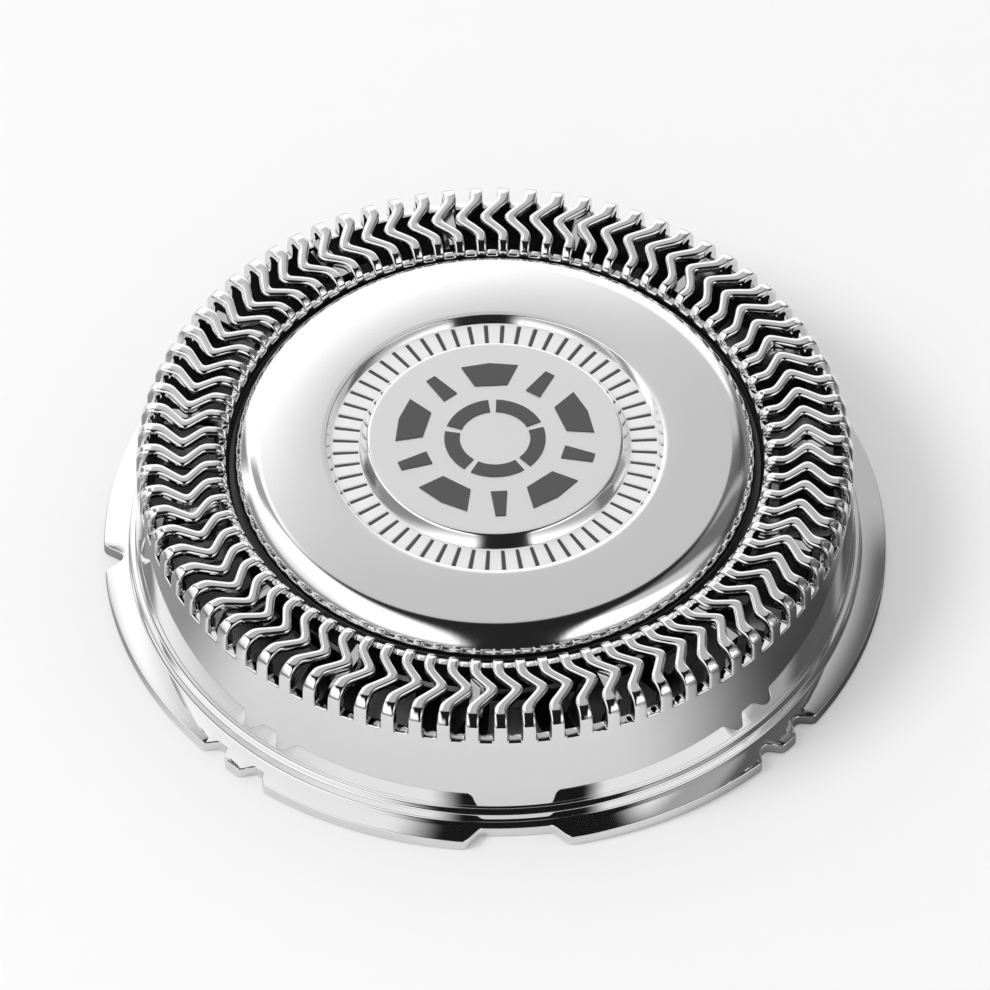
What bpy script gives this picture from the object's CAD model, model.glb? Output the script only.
"""Rotary shaver head in a plain studio: the guard and cover as smooth polished metal round the CAD frame."""

import math

import bpy
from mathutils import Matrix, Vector


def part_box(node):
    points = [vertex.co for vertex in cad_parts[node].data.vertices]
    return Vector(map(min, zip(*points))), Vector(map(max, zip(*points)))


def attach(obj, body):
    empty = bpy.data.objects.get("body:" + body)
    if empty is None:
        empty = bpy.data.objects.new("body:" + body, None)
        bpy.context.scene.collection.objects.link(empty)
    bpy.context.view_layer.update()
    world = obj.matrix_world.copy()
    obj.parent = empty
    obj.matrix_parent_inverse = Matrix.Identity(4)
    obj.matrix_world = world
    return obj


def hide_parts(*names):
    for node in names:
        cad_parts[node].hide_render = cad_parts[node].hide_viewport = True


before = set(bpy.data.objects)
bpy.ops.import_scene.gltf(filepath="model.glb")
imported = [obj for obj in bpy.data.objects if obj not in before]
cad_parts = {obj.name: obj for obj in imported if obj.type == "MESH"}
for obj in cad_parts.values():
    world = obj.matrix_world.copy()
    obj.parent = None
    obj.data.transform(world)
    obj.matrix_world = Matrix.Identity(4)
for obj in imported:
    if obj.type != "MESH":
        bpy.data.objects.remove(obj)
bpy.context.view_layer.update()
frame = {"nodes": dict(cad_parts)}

MM = 0.001

# Lengths are in millimetres and angles in degrees. The outermost sizes are the frame's own.
GUARD_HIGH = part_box("guard_cap")[1] / MM
COVER_LOW, COVER_HIGH = (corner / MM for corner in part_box("cover_disc"))
FLANGE_RADIUS = GUARD_HIGH.x
TRACK_HEIGHT = GUARD_HIGH.z
PLATE_TOP = COVER_LOW.z
COVER_RADIUS = COVER_HIGH.x
BADGE_TOP = COVER_HIGH.z

# The guard, from its flange up the wall, in over the track and down into the recess
FLANGE_SHEET = 0.42
FLANGE_WIDTH = 1.05
WALL_SHEET = 0.35
WALL_DRAFT = 0.08
WALL_FOOT = FLANGE_RADIUS - FLANGE_WIDTH
WALL_HEAD = WALL_FOOT - WALL_DRAFT
STEP_WIDTH = 0.22
STEP_HEIGHT = 0.4
STEP_ROUND = 0.06
STEP_RADIUS = WALL_FOOT + STEP_WIDTH
STEP_TOP = FLANGE_SHEET + STEP_HEIGHT
FOOT_CHAMFER = 0.05
SHOULDER = 0.45
DRAFT_ANGLE = math.degrees(math.atan2(WALL_DRAFT, TRACK_HEIGHT - SHOULDER - STEP_TOP))
TRACK_SHEET = 0.2
INNER_SHOULDER = 0.38
COVER_GAP = 0.23
RECESS_RADIUS = COVER_RADIUS + COVER_GAP
RECESS_CHAMFER = 0.1
RIM_SHEET = 0.27
RIM_OUTER = RECESS_RADIUS + RIM_SHEET
PLATE_SHEET = 0.3
SEAT_RADIUS = 1.9
EDGE_ROUND = 0.04
EDGE_TURNS = (0, 30, 60, 90)

# The slots: a short straight stretch at the rim, then two arms that meet in a tip
SLOT_COUNT = 79
PITCH = 360 / SLOT_COUNT
SLOT_HALF_ANGLE = 1.2
SLOT_STRAIGHT = 0.45
SLOT_INNER_ARM = 0.68
SLOT_OUTER_ARM = 0.75
SLOT_KNEE = RIM_OUTER + SLOT_STRAIGHT
SLOT_TIP = SLOT_KNEE + SLOT_INNER_ARM
SLOT_HEEL = SLOT_TIP + SLOT_OUTER_ARM
SLOT_SWEEP = 3.8
SLOT_BACK = 3.5
SLOT_BENDS = [(SLOT_KNEE, -SLOT_SWEEP), (SLOT_TIP, 0.0), (SLOT_HEEL, -SLOT_BACK)]
BEND_SOFTNESS = 0.14
BEND_READS = 9
SLOT_INNER_DROP = 0.42
SLOT_OUTER_DROP = 0.98
SLOT_END_MARGIN = 0.04
SLOT_CORNER = 0.05
SLOT_BEVEL = 0.07
CORNER_STEPS = 4
MITRE_LIMIT = 0.3
SLOT_ROWS = 46
SLOT_COLUMNS = 3
BAR_COLUMNS = 3

# Bites in the flange's edge: the depth, then half the angle of the bite's floor and of its mouth
KEY_BITE = (0.6, 5.4, 9.0)
NOTCH_BITE = (0.45, 0.9, 3.2)
VEE_BITE = (0.6, 0.6, 3.5)
KEY_ANGLES = (90, 270)
NOTCH_PAIR_ANGLES = (45, 135, 225, 315)
NOTCH_OFFSET = 3.6
VEE_ANGLE = 180
BITE_EASE = 0.5
BITE_READS = 7
BITE_MARGIN = 0.8
BITE_STEP = 0.15
PLAIN_STEP = 0.6

# The cover, from its rim over the crown into the sunk ring and up the badge
COVER_LIFT = 0.35
COVER_TOP = TRACK_HEIGHT + COVER_LIFT
COVER_SHEET = 0.25
COVER_CHAMFER = 0.03
COVER_ROUND = 0.9
ROUND_LEAD = 0.1
COVER_CROWN = 0.04
CROWN_ROWS = 12
SUNK_RADIUS = 5.3
SUNK_DEPTH = 0.23
SUNK_WIDTH = 1.14
SUNK_FLOOR = COVER_TOP - SUNK_DEPTH
LIP_SLOPE = 0.14
LIP_TURN = 165
BADGE_RADIUS = SUNK_RADIUS - SUNK_WIDTH
BADGE_SLOPE = 0.2
BADGE_ROUND = 0.1
BADGE_TURN = 28
BADGE_RINGS = (0.98, 0.7, 0.4, 0.15)
INNER_MIDDLE = 0.3
TICK_COUNT = 60
TICK_WIDTH = 0.12
TICK_FLANK = 0.35
TICK_DEPTH = 0.04
TICK_MARGIN = 0.06
TICK_END = 0.03

# Fillets where the two slopes of the sunk ring meet its floor, as steps outwards and up
LIP_FILLET = ((0.02, 0.04), (-0.01, 0.0))
BADGE_FILLET = ((0.01, 0.0), (-0.02, 0.03))

# Numbers of the finishes on the guard's faces and on the cover's
OUTSIDE, INSIDE = 0, 1
SATIN, ETCHED, BLASTED, FROSTED = 0, 1, 2, 3

SHARP_ANGLE = 38
NORMAL_WEIGHT = 90


class Skin:
    """Points and faces of one mesh, in millimetres, with a finish's number for each face."""

    def __init__(self):
        self.points = []
        self.faces = []
        self.finishes = []

    def point(self, radius, angle, height):
        """Add a point and return its number."""
        turn = math.radians(angle)
        self.points.append((radius * math.cos(turn), radius * math.sin(turn), height))
        return len(self.points) - 1

    def ring(self, radius, height, angles):
        """Add a row of points at one radius and height."""
        return [self.point(radius, angle, height) for angle in angles]

    def face(self, corners, finish=0):
        """Add a face between points that are there."""
        self.faces.append(corners)
        self.finishes.append(finish)

    def bridge(self, lower, upper, finish=0, closed=True):
        """Join two rows of as many points with four-sided faces."""
        count = len(lower)
        for i in range(count if closed else count - 1):
            k = (i + 1) % count
            self.face((lower[i], lower[k], upper[k], upper[i]), finish)

    def run(self, ring, section, angles, finish=0):
        """Carry a closed ring on through the places of a section, and return the last ring."""
        for radius, height in section:
            after = self.ring(radius, height, angles)
            self.bridge(ring, after, finish)
            ring = after
        return ring

    def close(self, ring, height, finish=0):
        """Close a ring with a fan of faces round a point on the axis."""
        middle = self.point(0, 0, height)
        for here, after in zip(ring, ring[1:] + ring[:1]):
            self.face((here, after, middle), finish)

    def zip_rings(self, first, first_angles, second, second_angles, finish=0):
        """Join two closed rings that have different numbers of points with triangles."""
        i = k = 0
        while i < len(first) or k < len(second):
            next_first = first_angles[i + 1] if i + 1 < len(first) else first_angles[0] + 360
            next_second = second_angles[k + 1] if k + 1 < len(second) else second_angles[0] + 360
            here, there = first[i % len(first)], second[k % len(second)]
            if k >= len(second) or (i < len(first) and next_first <= next_second):
                self.face((here, first[(i + 1) % len(first)], there), finish)
                i += 1
            else:
                self.face((here, second[(k + 1) % len(second)], there), finish)
                k += 1

    def make(self, name):
        """Turn the points and faces into a Blender object with smooth, face-weighted shading."""
        mesh = bpy.data.meshes.new(name)
        mesh.from_pydata([[c * MM for c in p] for p in self.points], [], self.faces)
        mesh.polygons.foreach_set("material_index", self.finishes)
        mesh.polygons.foreach_set("use_smooth", [True] * len(self.faces))
        mesh.update()
        mesh.validate()
        piece = bpy.data.objects.new(name, mesh)
        bpy.context.scene.collection.objects.link(piece)
        bpy.context.view_layer.objects.active = piece
        piece.select_set(True)
        bpy.ops.object.mode_set(mode="EDIT")
        bpy.ops.mesh.select_all(action="SELECT")
        bpy.ops.mesh.normals_make_consistent(inside=False)
        bpy.ops.object.mode_set(mode="OBJECT")
        piece.select_set(False)
        mesh.set_sharp_from_angle(angle=math.radians(SHARP_ANGLE))
        weighted = piece.modifiers.new("WeightedNormal", "WEIGHTED_NORMAL")
        weighted.keep_sharp = True
        weighted.weight = NORMAL_WEIGHT
        return piece


def arc(centre, radius, start, end, steps):
    """Places on an arc of a section, each a radius and a height."""
    places = []
    for step in range(steps + 1):
        turn = math.radians(start + (end - start) * step / steps)
        places.append((centre[0] + radius * math.cos(turn), centre[1] + radius * math.sin(turn)))
    return places


def line(start, end, steps):
    """Places along a straight stretch of a section, without its first one."""
    return [
        (start[0] + (end[0] - start[0]) * k / steps, start[1] + (end[1] - start[1]) * k / steps)
        for k in range(1, steps + 1)
    ]


def eased(function, place, reach, reads):
    """A function's mean over even steps from a reach before a place to a reach after it."""
    return sum(function(place + reach * (2 * k / (reads - 1) - 1)) for k in range(reads)) / reads


class Path:
    """A section line of places close together, read by the length along it."""

    def __init__(self, places):
        self.places = places
        self.lengths = [0.0]
        for (r0, z0), (r1, z1) in zip(places, places[1:]):
            self.lengths.append(self.lengths[-1] + math.hypot(r1 - r0, z1 - z0))

    def at(self, length):
        """The radius and height at a length, then the two parts of the outward normal there."""
        i = max(k for k in range(len(self.lengths) - 1) if self.lengths[k] <= max(length, 0.0))
        (r0, z0), (r1, z1) = self.places[i], self.places[i + 1]
        share = (length - self.lengths[i]) / (self.lengths[i + 1] - self.lengths[i])
        across = (r1 - r0, z1 - z0)
        size = math.hypot(*across)
        return r0 + across[0] * share, z0 + across[1] * share, -across[1] / size, across[0] / size


# The guard

def track_path():
    """The guard's outside, from inside the rim over the track to a little way down the wall."""
    inner_centre = (RECESS_RADIUS + INNER_SHOULDER, TRACK_HEIGHT - INNER_SHOULDER)
    centre = (WALL_HEAD - SHOULDER, TRACK_HEIGHT - SHOULDER)
    places = [(RECESS_RADIUS, TRACK_HEIGHT - SLOT_INNER_DROP - SLOT_END_MARGIN)]
    places += arc(inner_centre, INNER_SHOULDER, 180, 90, steps=18)
    places += line(places[-1], (centre[0], TRACK_HEIGHT), steps=30)
    places += arc(centre, SHOULDER, 90, DRAFT_ANGLE, steps=20)[1:]
    drop = places[-1][1] - (TRACK_HEIGHT - SLOT_OUTER_DROP - SLOT_END_MARGIN)
    foot = (places[-1][0] + drop * math.tan(math.radians(DRAFT_ANGLE)), places[-1][1] - drop)
    return Path(places + line(places[-1], foot, steps=8))


def sheet_at(path, length):
    """The sheet's thickness: thin over the track, growing round both shoulders."""
    radius, height = path.at(length)[:2]
    full = RIM_SHEET if radius < SLOT_TIP else WALL_SHEET
    share = min((TRACK_HEIGHT - height) / SHOULDER, 1.0)
    return TRACK_SHEET + (full - TRACK_SHEET) * share


def sharp_centre(radius):
    """The angle of the slot's centre line at a radius, with sharp bends."""
    if radius <= SLOT_BENDS[0][0]:
        return SLOT_BENDS[0][1]
    for (r0, a0), (r1, a1) in zip(SLOT_BENDS, SLOT_BENDS[1:]):
        if radius <= r1:
            return a0 + (a1 - a0) * (radius - r0) / (r1 - r0)
    return SLOT_BENDS[-1][1]


def slot_rows(path):
    """Lengths of the rows that cross the slots, closer together where the ends are rounded."""
    first = SLOT_END_MARGIN
    last = path.lengths[-1] - SLOT_END_MARGIN
    corner = SLOT_CORNER + SLOT_BEVEL
    turns = [math.radians(90 * k / CORNER_STEPS) for k in range(CORNER_STEPS + 1)]
    ease = [corner * (1 - math.cos(turn)) for turn in turns]
    span = last - first - 2 * corner
    rows = [first + e for e in ease]
    rows += [first + corner + span * k / SLOT_ROWS for k in range(1, SLOT_ROWS)]
    rows += [last - e for e in reversed(ease)]
    return rows


def half_width(path, length, rows):
    """Half the slot's width along its row, bevel included, rounded in at both ends."""
    corner = SLOT_CORNER + SLOT_BEVEL
    full = math.radians(SLOT_HALF_ANGLE) * path.at(length)[0] + SLOT_BEVEL
    near = min(length - rows[0], rows[-1] - length)
    if near >= corner:
        return full
    return full - corner + math.sqrt(max(corner ** 2 - (corner - near) ** 2, 0.0))


def slot_outline(path, rows):
    """The slot's outline as lengths and angles: up one side, across, down the other and across."""
    sides = []
    for sign in (-1, 1):
        side = []
        for length in rows:
            radius = path.at(length)[0]
            centre = eased(sharp_centre, radius, BEND_SOFTNESS, BEND_READS)
            side.append((length, centre + sign * math.degrees(half_width(path, length, rows) / radius)))
        sides.append(side)
    behind, ahead = sides

    def across(start, end):
        return [
            (start[0], start[1] + (end[1] - start[1]) * k / SLOT_COLUMNS)
            for k in range(1, SLOT_COLUMNS)
        ]

    return behind + across(behind[-1], ahead[-1]) + ahead[::-1] + across(ahead[0], behind[0])


def shrink(path, outline, distance):
    """The same outline moved towards the slot's middle by a distance."""
    flat = [(length, math.radians(angle) * path.at(length)[0]) for length, angle in outline]
    moved = []
    for i, (u, v) in enumerate(flat):
        before, after = flat[i - 1], flat[(i + 1) % len(flat)]
        ways = []
        for start, end in ((before, (u, v)), ((u, v), after)):
            size = math.hypot(end[0] - start[0], end[1] - start[1])
            ways.append((-(end[1] - start[1]) / size, (end[0] - start[0]) / size))
        way = (ways[0][0] + ways[1][0], ways[0][1] + ways[1][1])
        scale = distance / max(way[0] * ways[0][0] + way[1] * ways[0][1], MITRE_LIMIT)
        u, v = u + way[0] * scale, v + way[1] * scale
        moved.append((u, math.degrees(v / path.at(u)[0])))
    return moved


class SlotBand:
    """The slotted track: the slots' rounded lips and straight walls, and the bars between them."""

    def __init__(self, skin):
        self.skin = skin
        self.path = track_path()
        self.rows = slot_rows(self.path)
        self.outline = slot_outline(self.path, self.rows)

        # Where the outline's four sides lie in it, the two long ones in the order of the rows
        places = list(range(len(self.outline)))
        count, ends = len(self.rows), SLOT_COLUMNS - 1
        self.behind = places[:count]
        self.far = places[count:count + ends]
        self.ahead = places[count + ends:2 * count + ends][::-1]
        self.near = places[2 * count + ends:][::-1]

        # From the outside inwards: a lip rounded in steps, then a straight wall through the sheet
        loops, depths = [self.outline], [0.0]
        for turn in map(math.radians, EDGE_TURNS[1:]):
            loops.append(shrink(self.path, self.outline, SLOT_BEVEL * math.sin(turn)))
            depths.append(SLOT_BEVEL * (1 - math.cos(turn)))
        loops.append(loops[-1])
        depths.append(None)
        edges = [
            [self.slot(loop, depth, k * PITCH) for k in range(SLOT_COUNT)]
            for loop, depth in zip(loops, depths)
        ]
        for k in range(SLOT_COUNT):
            for upper, lower in zip(edges, edges[1:]):
                skin.bridge(upper[k], lower[k], OUTSIDE)

        self.outer_edges, self.inner_edges = edges[0], edges[-1]
        self.tops = self.bars(self.outer_edges, loops[0], 0.0)
        self.undersides = self.bars(self.inner_edges, loops[-1], None)
        for bars, finish in ((self.tops, OUTSIDE), (self.undersides, INSIDE)):
            for bar in bars:
                for row, after in zip(bar, bar[1:]):
                    skin.bridge(row, after, finish, closed=False)

    def place(self, length, angle, depth):
        """Radius, angle and height at a depth below the outside, or on the inside for no depth."""
        radius, height, out, up = self.path.at(length)
        if depth is None:
            depth = sheet_at(self.path, length)
        return radius - out * depth, angle, height - up * depth

    def slot(self, loop, depth, turn):
        """Add the points of one slot's outline at a depth."""
        return [self.skin.point(*self.place(u, a + turn, depth)) for u, a in loop]

    def bars(self, edges, loop, depth):
        """Fill the bars between each slot and the next, as rows of points from edge to edge."""
        bars = []
        for k in range(SLOT_COUNT):
            here, there = edges[k], edges[(k + 1) % SLOT_COUNT]
            bar = []
            for ahead, behind in zip(self.ahead, self.behind):
                start, end = loop[ahead], loop[behind]
                inner = []
                for j in range(1, BAR_COLUMNS):
                    share = j / BAR_COLUMNS
                    u = start[0] + (end[0] - start[0]) * share
                    a = start[1] + (end[1] + PITCH - start[1]) * share
                    inner.append(self.skin.point(*self.place(u, a + k * PITCH, depth)))
                bar.append([here[ahead], *inner, there[behind]])
            bars.append(bar)
        return bars

    def end_ring(self, edges, bars, row, end):
        """The closed ring of points through one end of every slot and the bars between them."""
        ring = []
        for edge, bar in zip(edges, bars):
            ring += [edge[self.behind[row]], *(edge[n] for n in end)]
            ring += bar[row][:-1]
        return ring

    def end_angles(self, row, end):
        """The angles of the points of such a ring on the outside."""
        behind, ahead = self.outline[self.behind[row]][1], self.outline[self.ahead[row]][1]
        across = behind + PITCH - ahead
        angles = []
        for k in range(SLOT_COUNT):
            angles.append(behind + k * PITCH)
            angles += [self.outline[n][1] + k * PITCH for n in end]
            angles += [ahead + across * j / BAR_COLUMNS + k * PITCH for j in range(BAR_COLUMNS)]
        return angles


def angle_between(first, second):
    """The angle from one direction to another, the short way round."""
    return abs((first - second + 180) % 360 - 180)


def flange_bites():
    """Every bite in the flange's edge: its middle, its depth, and half the angle of its floor and mouth."""
    bites = [(middle, *KEY_BITE) for middle in KEY_ANGLES]
    for middle in NOTCH_PAIR_ANGLES:
        bites += [(middle + side * NOTCH_OFFSET, *NOTCH_BITE) for side in (-1, 1)]
    return bites + [(VEE_ANGLE, *VEE_BITE)]


def flange_outline():
    """Angles round the flange and the radius of its edge at each, with the bites' corners eased."""
    beyond = FLANGE_RADIUS + FLANGE_SHEET
    bites = flange_bites()

    def sharp(angle):
        for middle, depth, floor_half, mouth_half in bites:
            off = angle_between(angle, middle)
            if off < mouth_half:
                bottom = FLANGE_RADIUS - depth
                share = max(off - floor_half, 0.0) / (mouth_half - floor_half)
                return min(bottom + (beyond - bottom) * share, FLANGE_RADIUS)
        return FLANGE_RADIUS

    angles = []
    angle = 0.0
    while angle < 360 - 1e-6:
        angles.append(angle)
        close = any(angle_between(angle, middle) < mouth + BITE_MARGIN for middle, _, _, mouth in bites)
        angle += BITE_STEP if close else PLAIN_STEP
    return angles, [eased(sharp, angle, BITE_EASE, BITE_READS) for angle in angles]


def flange_edge(skin, angles, radii):
    """The flange's edge as rings of points from its top to its underside, rounded at both corners."""
    ways = []
    for i, radius in enumerate(radii):
        ahead = (i + 1) % len(angles)
        step = ((angles[ahead] - angles[i - 1]) + 360) % 360
        slant = (radii[ahead] - radii[i - 1]) / (math.radians(step) * radius)
        size = math.hypot(1, slant)
        ways.append((1 / size, -slant / size))

    corner = [(1 - math.sin(turn), 1 - math.cos(turn)) for turn in map(math.radians, EDGE_TURNS)]
    rings = []
    for level, sign, rows in ((FLANGE_SHEET, -1, corner), (0.0, 1, corner[::-1])):
        for back, away in rows:
            shift = EDGE_ROUND * back
            height = level + sign * EDGE_ROUND * away
            ring = []
            for angle, radius, way in zip(angles, radii, ways):
                turn = -math.degrees(way[1] * shift / radius)
                ring.append(skin.point(radius - way[0] * shift, angle + turn, height))
            rings.append(ring)
    return rings


def guard_shell():
    """The drawn guard: track with rounded chevron slots, shoulder, drafted wall and keyed flange."""
    skin = Skin()
    band = SlotBand(skin)
    near, far = (0, band.near), (-1, band.far)
    near_angles, far_angles = band.end_angles(*near), band.end_angles(*far)

    # Inwards from the slots: the recess and the centre plate, back under it to the slots again
    rim_foot, wall_head = band.path.places[0], band.path.places[-1]
    plate_foot = PLATE_TOP - PLATE_SHEET
    inward = [
        rim_foot,
        (RECESS_RADIUS, PLATE_TOP + RECESS_CHAMFER),
        (RECESS_RADIUS - RECESS_CHAMFER, PLATE_TOP),
        (RECESS_RADIUS / 2, PLATE_TOP),
        (SEAT_RADIUS, PLATE_TOP),
        (SEAT_RADIUS, plate_foot),
        (RECESS_RADIUS / 2, plate_foot),
        (RIM_OUTER, plate_foot),
        (RIM_OUTER, rim_foot[1]),
    ]
    ring = skin.run(band.end_ring(band.outer_edges, band.tops, *near), inward, near_angles, INSIDE)
    skin.bridge(ring, band.end_ring(band.inner_edges, band.undersides, *near), INSIDE)

    # Outwards: the upright wall and the small step at its foot
    soft = STEP_ROUND
    outward = [wall_head, *line(wall_head, (WALL_FOOT, STEP_TOP + soft), steps=6)]
    outward += arc((WALL_FOOT + soft, STEP_TOP + soft), soft, 180, 270, steps=5)[1:]
    outward += arc((STEP_RADIUS - soft, STEP_TOP - soft), soft, 90, 0, steps=5)
    outward += arc((STEP_RADIUS + soft, FLANGE_SHEET + soft), soft, 180, 270, steps=5)
    ring = skin.run(band.end_ring(band.outer_edges, band.tops, *far), outward, far_angles, OUTSIDE)

    # The flange's top and its edge, with its keys
    angles, radii = flange_outline()
    edge = flange_edge(skin, angles, radii)
    order = sorted(range(len(far_angles)), key=lambda n: far_angles[n] % 360)
    foot = [ring[n] for n in order]
    foot_angles = [far_angles[n] % 360 for n in order]
    skin.zip_rings(foot, foot_angles, edge[0], angles, OUTSIDE)
    for above, below in zip(edge, edge[1:]):
        skin.bridge(above, below, OUTSIDE)

    # The flange's underside, and the inside of the wall back up to the slots
    low_ring = skin.ring(STEP_RADIUS - WALL_SHEET + FOOT_CHAMFER, 0.0, foot_angles)
    skin.zip_rings(low_ring, foot_angles, edge[-1], angles, OUTSIDE)
    back = sorted(range(len(order)), key=lambda n: order[n])
    inside_foot = [low_ring[n] for n in back]
    top_radius, _, top_height = band.place(band.rows[-1], 0, None)
    inside = [(STEP_RADIUS - WALL_SHEET, FOOT_CHAMFER), (WALL_FOOT - WALL_SHEET, STEP_TOP)]
    inside += line(inside[-1], (top_radius, top_height), steps=5)[:-1]
    ring = skin.run(inside_foot, inside, far_angles, INSIDE)
    skin.bridge(ring, band.end_ring(band.inner_edges, band.undersides, *far), INSIDE)
    return skin.make("guard_shell")


# The cover

def tick_angles():
    """Angles of the cover's points, and whether each lies in the flat of a tick."""
    half = math.degrees(TICK_WIDTH / 2 / ((SUNK_RADIUS + BADGE_RADIUS) / 2))
    flank = half * TICK_FLANK
    pitch = 360 / TICK_COUNT
    land = pitch - 2 * (half + flank)
    offsets = [-half - flank, -half, 0.0, half, half + flank]
    offsets += [half + flank + land / 3, half + flank + land * 2 / 3]
    angles = [k * pitch + offset for k in range(TICK_COUNT) for offset in offsets]
    deep = [abs(offset) <= half + 1e-9 for _ in range(TICK_COUNT) for offset in offsets]
    return angles, deep


def cover_shell():
    """The pressed cover: rounded rim, softly domed crown, sunk ring with its ticks, raised badge."""
    skin = Skin()
    angles, deep = tick_angles()

    # The rim, the crown and the slope down into the sunk ring
    rim = (COVER_RADIUS - COVER_ROUND, COVER_TOP - COVER_CROWN - COVER_ROUND)
    lip = (SUNK_RADIUS + LIP_SLOPE + EDGE_ROUND, COVER_TOP - EDGE_ROUND)
    section = [(COVER_RADIUS, PLATE_TOP + COVER_CHAMFER), (COVER_RADIUS, rim[1] - ROUND_LEAD)]
    section += arc(rim, COVER_ROUND, 0, 90, steps=22)
    for step in range(1, CROWN_ROWS + 1):
        share = step / (CROWN_ROWS + 1)
        radius = rim[0] + (lip[0] - rim[0]) * share
        section.append((radius, COVER_TOP - COVER_CROWN * (1 - share) ** 2))
    section += arc(lip, EDGE_ROUND, 90, LIP_TURN, steps=4)
    section += [(SUNK_RADIUS + out, SUNK_FLOOR + up) for out, up in LIP_FILLET]
    foot = skin.ring(COVER_RADIUS - COVER_CHAMFER, PLATE_TOP, angles)
    ring = skin.run(foot, section, angles, SATIN)

    # The sunk ring: rows that dip where a tick crosses them
    badge_foot = BADGE_RADIUS + BADGE_SLOPE
    outer, inner = SUNK_RADIUS - TICK_MARGIN, badge_foot + TICK_MARGIN
    rows = [(outer + TICK_END, False), (outer, True), ((outer + inner) / 2, True)]
    rows += [(inner, True), (inner - TICK_END, False)]
    before_dips = False
    for radius, dips in rows:
        after = [
            skin.point(radius, angle, SUNK_FLOOR - (TICK_DEPTH if dips and low else 0.0))
            for angle, low in zip(angles, deep)
        ]
        for i in range(len(angles)):
            k = (i + 1) % len(angles)
            marked = dips and before_dips and deep[i] and deep[k]
            skin.face((ring[i], ring[k], after[k], after[i]), ETCHED if marked else FROSTED)
        ring = after
        before_dips = dips

    # The badge: its slope, its rounded edge and its flat top
    lip = (BADGE_RADIUS - BADGE_ROUND, BADGE_TOP - BADGE_ROUND)
    rise = [(badge_foot + out, SUNK_FLOOR + up) for out, up in BADGE_FILLET]
    rise += arc(lip, BADGE_ROUND, BADGE_TURN, 90, steps=6)
    ring = skin.run(ring, rise, angles, SATIN)
    ring = skin.run(ring, [(lip[0] * share, BADGE_TOP) for share in BADGE_RINGS], angles, BLASTED)
    skin.close(ring, BADGE_TOP, BLASTED)

    # The inside of the pressing
    inside = COVER_RADIUS - COVER_SHEET
    inner_floor = SUNK_FLOOR - COVER_SHEET
    inner_top = BADGE_TOP - COVER_SHEET
    under = [
        (inside, PLATE_TOP),
        (inside, COVER_TOP - COVER_ROUND),
        (inside - COVER_ROUND / 2, inner_floor),
        (BADGE_RADIUS - COVER_SHEET, inner_floor),
        (BADGE_RADIUS - COVER_SHEET, inner_top),
        (INNER_MIDDLE, inner_top),
    ]
    ring = skin.run(foot, under, angles, SATIN)
    skin.close(ring, inner_top, SATIN)
    return skin.make("cover_shell")


# Materials

BLOTCH_WIDTH = 2.4
BLOTCH_SHARE = 0.65
GRAIN_SHARE = 0.35
NOISE_ROUGHNESS = 0.55


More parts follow.
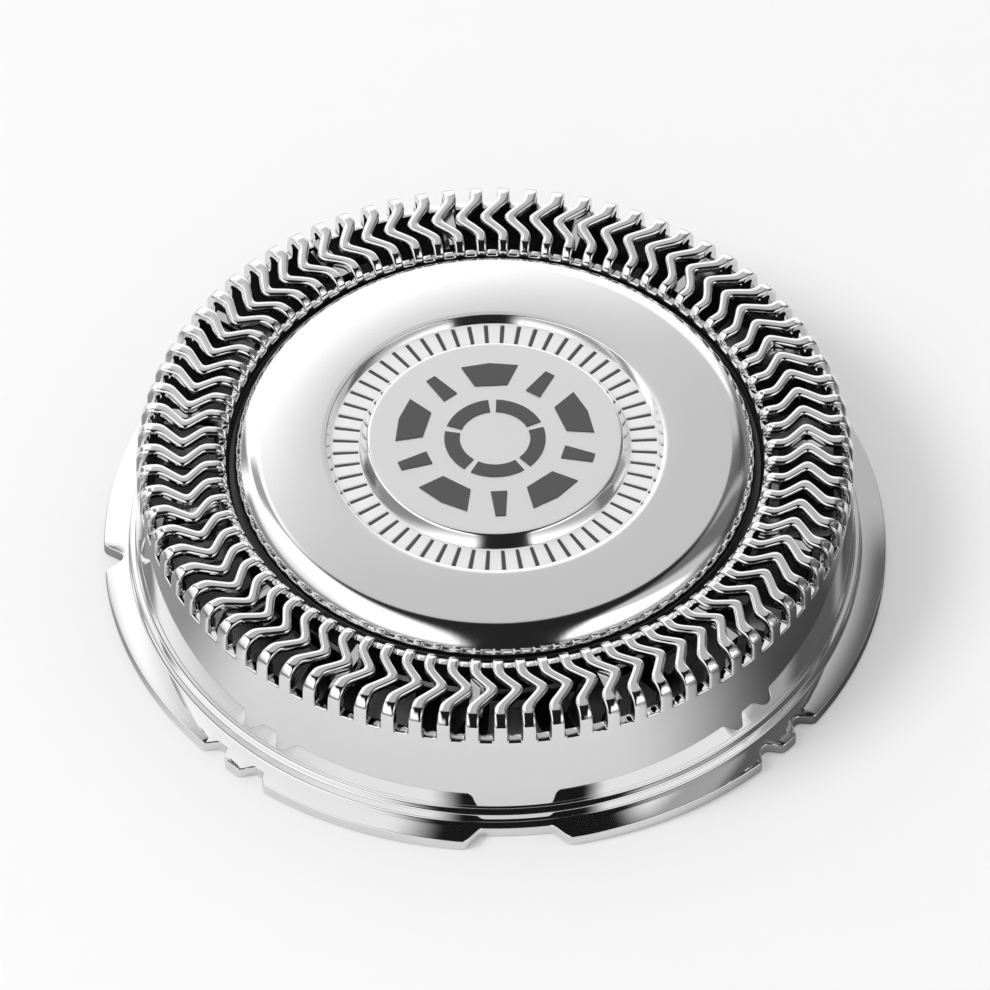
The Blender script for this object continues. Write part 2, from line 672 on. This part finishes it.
class Nodes:
    """Short ways to add and join shader nodes in one tree."""

    def __init__(self, tree):
        self.tree = tree
        self.links = tree.links

    def add(self, kind, **settings):
        """Add a node and set what it is given."""
        node = self.tree.nodes.new(kind)
        for name, value in settings.items():
            setattr(node, name, value)
        return node

    def feed(self, socket, source):
        """Put a number or colour in a socket, or join another node's output to it."""
        if isinstance(source, bpy.types.NodeSocket):
            self.links.new(source, socket)
        else:
            socket.default_value = source

    def math(self, operation, *values):
        """Work out one sum."""
        node = self.add("ShaderNodeMath", operation=operation)
        for socket, value in zip(node.inputs, values):
            self.feed(socket, value)
        return node.outputs[0]

    def product(self, first, second):
        """Multiply two values."""
        return self.math("MULTIPLY", first, second)

    def rest(self, share):
        """What a share leaves of one."""
        return self.math("SUBTRACT", 1.0, share)

    def step(self, value, low, high):
        """Rise smoothly from nought to one as a value goes from low to high."""
        node = self.add("ShaderNodeMapRange", interpolation_type="SMOOTHSTEP")
        self.feed(node.inputs["Value"], value)
        node.inputs["From Min"].default_value = low
        node.inputs["From Max"].default_value = high
        return node.outputs[0]

    def fall(self, value, low, high):
        """Fall smoothly from one to nought as a value goes from low to high."""
        return self.rest(self.step(value, low, high))

    def between(self, value, start, rise, drop, end):
        """One between rise and drop, and nought before start and after end."""
        return self.product(self.step(value, start, rise), self.fall(value, drop, end))

    def spread(self, value, low, high):
        """Map a value between nought and one to a range of its own."""
        node = self.add("ShaderNodeMapRange")
        self.feed(node.inputs["Value"], value)
        node.inputs["To Min"].default_value = low
        node.inputs["To Max"].default_value = high
        return node.outputs[0]

    def fade(self, value, band, levels):
        """Go smoothly from the first level to the second as a value crosses a band."""
        return self.spread(self.step(value, *band), *levels)

    def dim(self, value, share, level):
        """Bring a value down to a part of itself, given by the level, where a share is one."""
        return self.product(value, self.spread(share, 1.0, level))

    def mix(self, share, first, second):
        """Mix two colours."""
        node = self.add("ShaderNodeMix", data_type="RGBA")
        self.feed(node.inputs[0], share)
        self.feed(node.inputs[6], first)
        self.feed(node.inputs[7], second)
        return node.outputs[2]

    def parts(self, kind):
        """The x, y and z of one kind of texture coordinate."""
        split = self.add("ShaderNodeSeparateXYZ")
        self.links.new(self.add("ShaderNodeTexCoord").outputs[kind], split.inputs[0])
        return split.outputs

    def mirrored(self):
        """One where a glossy surface looks, and nought where anything else does."""
        return self.add("ShaderNodeLightPath").outputs["Is Glossy Ray"]

    def noise(self, width, detail, stretch=(1, 1, 1)):
        """Noise over the object, with the width of one blotch in millimetres."""
        place = self.add("ShaderNodeTexCoord").outputs["Object"]
        scaled = self.add("ShaderNodeMapping")
        scaled.inputs["Scale"].default_value = [s / (width * MM) for s in stretch]
        self.links.new(place, scaled.inputs["Vector"])
        node = self.add("ShaderNodeTexNoise")
        node.inputs["Scale"].default_value = 1.0
        node.inputs["Detail"].default_value = detail
        node.inputs["Roughness"].default_value = NOISE_ROUGHNESS
        self.links.new(scaled.outputs[0], node.inputs["Vector"])
        return node.outputs["Fac"]


def grey(value):
    return (value, value, value, 1.0)


def surface(name, tones, gloss, grain, relief, metallic=1.0, stretch=(1, 1, 1)):
    """A procedural finish: blotches of two tones, uneven gloss, and a grain of a width and a relief."""
    material = bpy.data.materials.new(name)
    material.use_nodes = True
    nodes = Nodes(material.node_tree)
    shader = material.node_tree.nodes["Principled BSDF"]
    shader.inputs["Metallic"].default_value = metallic
    blotch = nodes.noise(BLOTCH_WIDTH, detail=4.0)
    fine = nodes.noise(grain, detail=3.0, stretch=stretch)
    tone = nodes.math("MULTIPLY_ADD", fine, GRAIN_SHARE, nodes.product(blotch, BLOTCH_SHARE))
    dark, light = tones
    nodes.feed(shader.inputs["Base Color"], nodes.mix(tone, grey(dark), grey(light)))
    nodes.feed(shader.inputs["Roughness"], nodes.spread(tone, *gloss))
    bump = nodes.add("ShaderNodeBump")
    bump.inputs["Strength"].default_value = 1.0
    bump.inputs["Distance"].default_value = relief * MM
    nodes.feed(bump.inputs["Height"], fine)
    nodes.feed(shader.inputs["Normal"], bump.outputs[0])
    return material


def give(piece, *materials):
    """Put materials in a piece's slots in turn, and leave each face with the slot that it names."""
    slots = piece.data.materials
    for i, material in enumerate(materials):
        if i < len(slots):
            slots[i] = material
        else:
            slots.append(material)


# Studio. Its places and sizes are in metres.

FLOOR_HALF = 1.6
FLOOR_SPECULAR = 0.1
KEY_PLACE = (-0.25, -0.05, 0.3)
KEY_SIZE = 0.16
KEY_POWER = 0.55
PLAIN_LEVEL = 0.74

AIM = Vector((0.0, 0.0, 2.68)) * MM
CAMERA_PLACE = Vector((-16.5, -288.6, 337.98)) * MM
SENSOR_WIDTH = 36
PHOTO_LENS = 165.4
CLOSER = 3.0
CLIP_START = 0.01

# What mirrors see of the room, by the parts of the direction: x right, y away from the camera, z up.
# A pair says where a change starts and ends. Four say where a patch starts, is full, fades and ends.
BEHIND_HEAD = (0.45, 0.54)
BACK_SLANT = 0.6
BACK_FADE = (0.69, 0.785)
BACK_LEVELS = (1.45, 0.62)
FLAGS_ACROSS = (0.15, 0.25, 0.52, 0.6)
FLAGS_DEPTH = (0.62, 0.66)
FLAGS_LEVEL = 0.25
RIGHT_END = (0.45, 0.62)
RIGHT_END_LEVEL = 0.15
LEFT_END = (-0.68, -0.58)
LEFT_END_DEPTH = (0.55, 0.65)
LEFT_END_LEVEL = 0.2
LEFT_PANEL = (-0.32, -0.17)
LEFT_PANEL_FADE = (-0.95, -0.6)
LEFT_PANEL_LEVELS = (0.9, 1.45)
RIGHT_PANEL = (0.31, 0.41)
RIGHT_PANEL_FADE = (-0.27, -0.12)
RIGHT_PANEL_LEVELS = (1.45, 0.6)
RIGHT_STRIP = (0.02, 0.15, 0.4, 0.5)
RIGHT_STRIP_LEVEL = 0.25
FRONT_RISE = (0.2, 0.42)
FRONT_LEVELS = (0.3, 1.0)
DARKEST = 0.015

# Darker cards on the floor, by the angle in radians seen from the head to the right and to the left
RIGHT_CARD = (-1.25, -0.55, -0.3, 0.2)
RIGHT_CARD_SHARE = 0.88
LEFT_CARD = (-0.35, -0.15, 0.25, 0.65)
LEFT_CARD_SHARE = 0.6


def light_dome():
    """A white room for what is seen and lit, with panels and dark strips for what is mirrored."""
    world = bpy.data.worlds.new("Studio")
    world.use_nodes = True
    bpy.context.scene.world = world
    nodes = Nodes(world.node_tree)
    x, y, z = nodes.parts("Generated")

    # Behind the head: white low down and to the left, light grey higher up, with darker flags and ends
    height = nodes.math("MULTIPLY_ADD", x, BACK_SLANT, z)
    back = nodes.fade(height, BACK_FADE, BACK_LEVELS)
    flags = nodes.between(nodes.math("ABSOLUTE", x), *FLAGS_ACROSS)
    left_end = nodes.product(nodes.fall(x, *LEFT_END), nodes.step(y, *LEFT_END_DEPTH))
    back = nodes.dim(back, nodes.product(flags, nodes.fall(y, *FLAGS_DEPTH)), FLAGS_LEVEL)
    back = nodes.dim(back, nodes.step(x, *RIGHT_END), RIGHT_END_LEVEL)
    back = nodes.dim(back, left_end, LEFT_END_LEVEL)

    # Overhead and on the camera's side: a bright panel to each side, a dark strip between them
    left_tone = nodes.fade(x, LEFT_PANEL_FADE, LEFT_PANEL_LEVELS)
    right_tone = nodes.fade(y, RIGHT_PANEL_FADE, RIGHT_PANEL_LEVELS)
    left = nodes.product(nodes.fall(x, *LEFT_PANEL), left_tone)
    right = nodes.product(nodes.step(x, *RIGHT_PANEL), right_tone)
    right = nodes.dim(right, nodes.between(y, *RIGHT_STRIP), RIGHT_STRIP_LEVEL)
    panels = nodes.math("ADD", left, right)
    front = nodes.product(panels, nodes.fade(z, FRONT_RISE, FRONT_LEVELS))
    front = nodes.math("ADD", front, DARKEST)

    side = nodes.step(y, *BEHIND_HEAD)
    room = nodes.math("ADD", nodes.product(back, side), nodes.product(front, nodes.rest(side)))
    mirrored = nodes.mirrored()
    plain = nodes.product(nodes.rest(mirrored), PLAIN_LEVEL)
    background = world.node_tree.nodes["Background"]
    nodes.feed(background.inputs["Color"], grey(1.0))
    nodes.feed(background.inputs["Strength"], nodes.math("ADD", nodes.product(room, mirrored), plain))


def floor():
    """A plain pale floor, large enough to fill every view."""
    mesh = bpy.data.meshes.new("floor")
    signs = [(-1, -1), (1, -1), (1, 1), (-1, 1)]
    mesh.from_pydata([(x * FLOOR_HALF, y * FLOOR_HALF, 0) for x, y in signs], [], [(0, 1, 2, 3)])
    piece = bpy.data.objects.new("floor", mesh)
    bpy.context.scene.collection.objects.link(piece)
    paper = surface("floor_paper", (0.95, 0.97), (0.75, 0.85), grain=0.6, relief=0.002, metallic=0.0)
    shader = paper.node_tree.nodes["Principled BSDF"]
    shader.inputs["Specular IOR Level"].default_value = FLOOR_SPECULAR

    # Polished metal mirrors darker cards that lie to the right and to the left of the head
    nodes = Nodes(paper.node_tree)
    seen = shader.inputs["Base Color"].links[0].from_socket
    x, y, _ = nodes.parts("Object")
    from_right = nodes.math("ARCTAN2", y, x)
    from_left = nodes.math("ARCTAN2", nodes.product(y, -1.0), nodes.product(x, -1.0))
    right_card = nodes.product(nodes.between(from_right, *RIGHT_CARD), RIGHT_CARD_SHARE)
    left_card = nodes.product(nodes.between(from_left, *LEFT_CARD), LEFT_CARD_SHARE)
    with_cards = nodes.mix(nodes.math("ADD", right_card, left_card), seen, grey(0.0))
    nodes.feed(shader.inputs["Base Color"], nodes.mix(nodes.mirrored(), seen, with_cards))
    give(piece, paper)


def key_lamp():
    """A round lamp high on the left, which gives the soft shadow on the floor and is in no reflection."""
    light = bpy.data.lights.new("key", "AREA")
    light.shape = "DISK"
    light.size = KEY_SIZE
    light.energy = KEY_POWER
    piece = bpy.data.objects.new("key", light)
    piece.location = KEY_PLACE
    piece.rotation_euler = (AIM - Vector(KEY_PLACE)).to_track_quat("-Z", "Y").to_euler()
    piece.visible_glossy = False
    bpy.context.scene.collection.objects.link(piece)


def camera():
    """The photograph's viewing place and angle, aimed at the head and drawn closer by the lens."""
    lens = bpy.data.cameras.new("camera")
    lens.sensor_width = SENSOR_WIDTH
    lens.lens = PHOTO_LENS * CLOSER
    lens.clip_start = CLIP_START
    piece = bpy.data.objects.new("camera", lens)
    piece.location = CAMERA_PLACE
    piece.rotation_euler = (AIM - CAMERA_PLACE).to_track_quat("-Z", "Y").to_euler()
    bpy.context.scene.collection.objects.link(piece)
    bpy.context.scene.camera = piece


def dress():
    """Give every node and piece its finish."""
    mirror = surface("mirror_steel", (0.7, 0.74), (0.03, 0.06), grain=0.5, relief=0.0002)
    inner = surface("inner_steel", (0.07, 0.1), (0.35, 0.5), grain=0.3, relief=0.001)
    guard = guard_shell()
    give(guard, mirror, inner)
    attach(guard, "guard")
    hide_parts("guard_cap")

    satin = surface("satin_steel", (0.84, 0.88), (0.09, 0.12), grain=0.09, relief=0.0003)
    etched = surface("etched_tick", (0.07, 0.1), (0.5, 0.6), grain=0.08, relief=0.001, metallic=0.4)
    blasted = surface("blasted_steel", (0.8, 0.86), (0.32, 0.4), grain=0.06, relief=0.001)
    frosted = surface("frosted_ring", (0.9, 0.95), (0.45, 0.55), grain=0.08, relief=0.0006, metallic=0.35)
    cover = cover_shell()
    give(cover, satin, etched, blasted, frosted)
    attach(cover, "guard")
    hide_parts("cover_disc")

    ink = surface("dark_ink", (0.06, 0.085), (0.45, 0.6), grain=0.08, relief=0.0008, metallic=0.0)
    ground = surface("ground_steel", (0.5, 0.62), (0.16, 0.28), grain=0.35, relief=0.0015, stretch=(1, 1, 6))
    spring = surface("spring_steel", (0.48, 0.58), (0.2, 0.32), grain=0.4, relief=0.001)
    acetal = surface("hub_acetal", (0.7, 0.76), (0.35, 0.5), grain=0.12, relief=0.0015, metallic=0.0)
    dark = surface("bearing_acetal", (0.05, 0.07), (0.35, 0.5), grain=0.12, relief=0.0015, metallic=0.0)
    nodes = frame["nodes"]
    give(nodes["badge_print"], ink)
    give(nodes["centre_bearing"], dark)
    give(nodes["cutter_ring"], ground)
    give(nodes["lifter_ring"], spring)
    give(nodes["cutter_hub"], acetal)


camera()
floor()
light_dome()
key_lamp()
dress()
bpy.context.scene.view_settings.view_transform = "Standard"
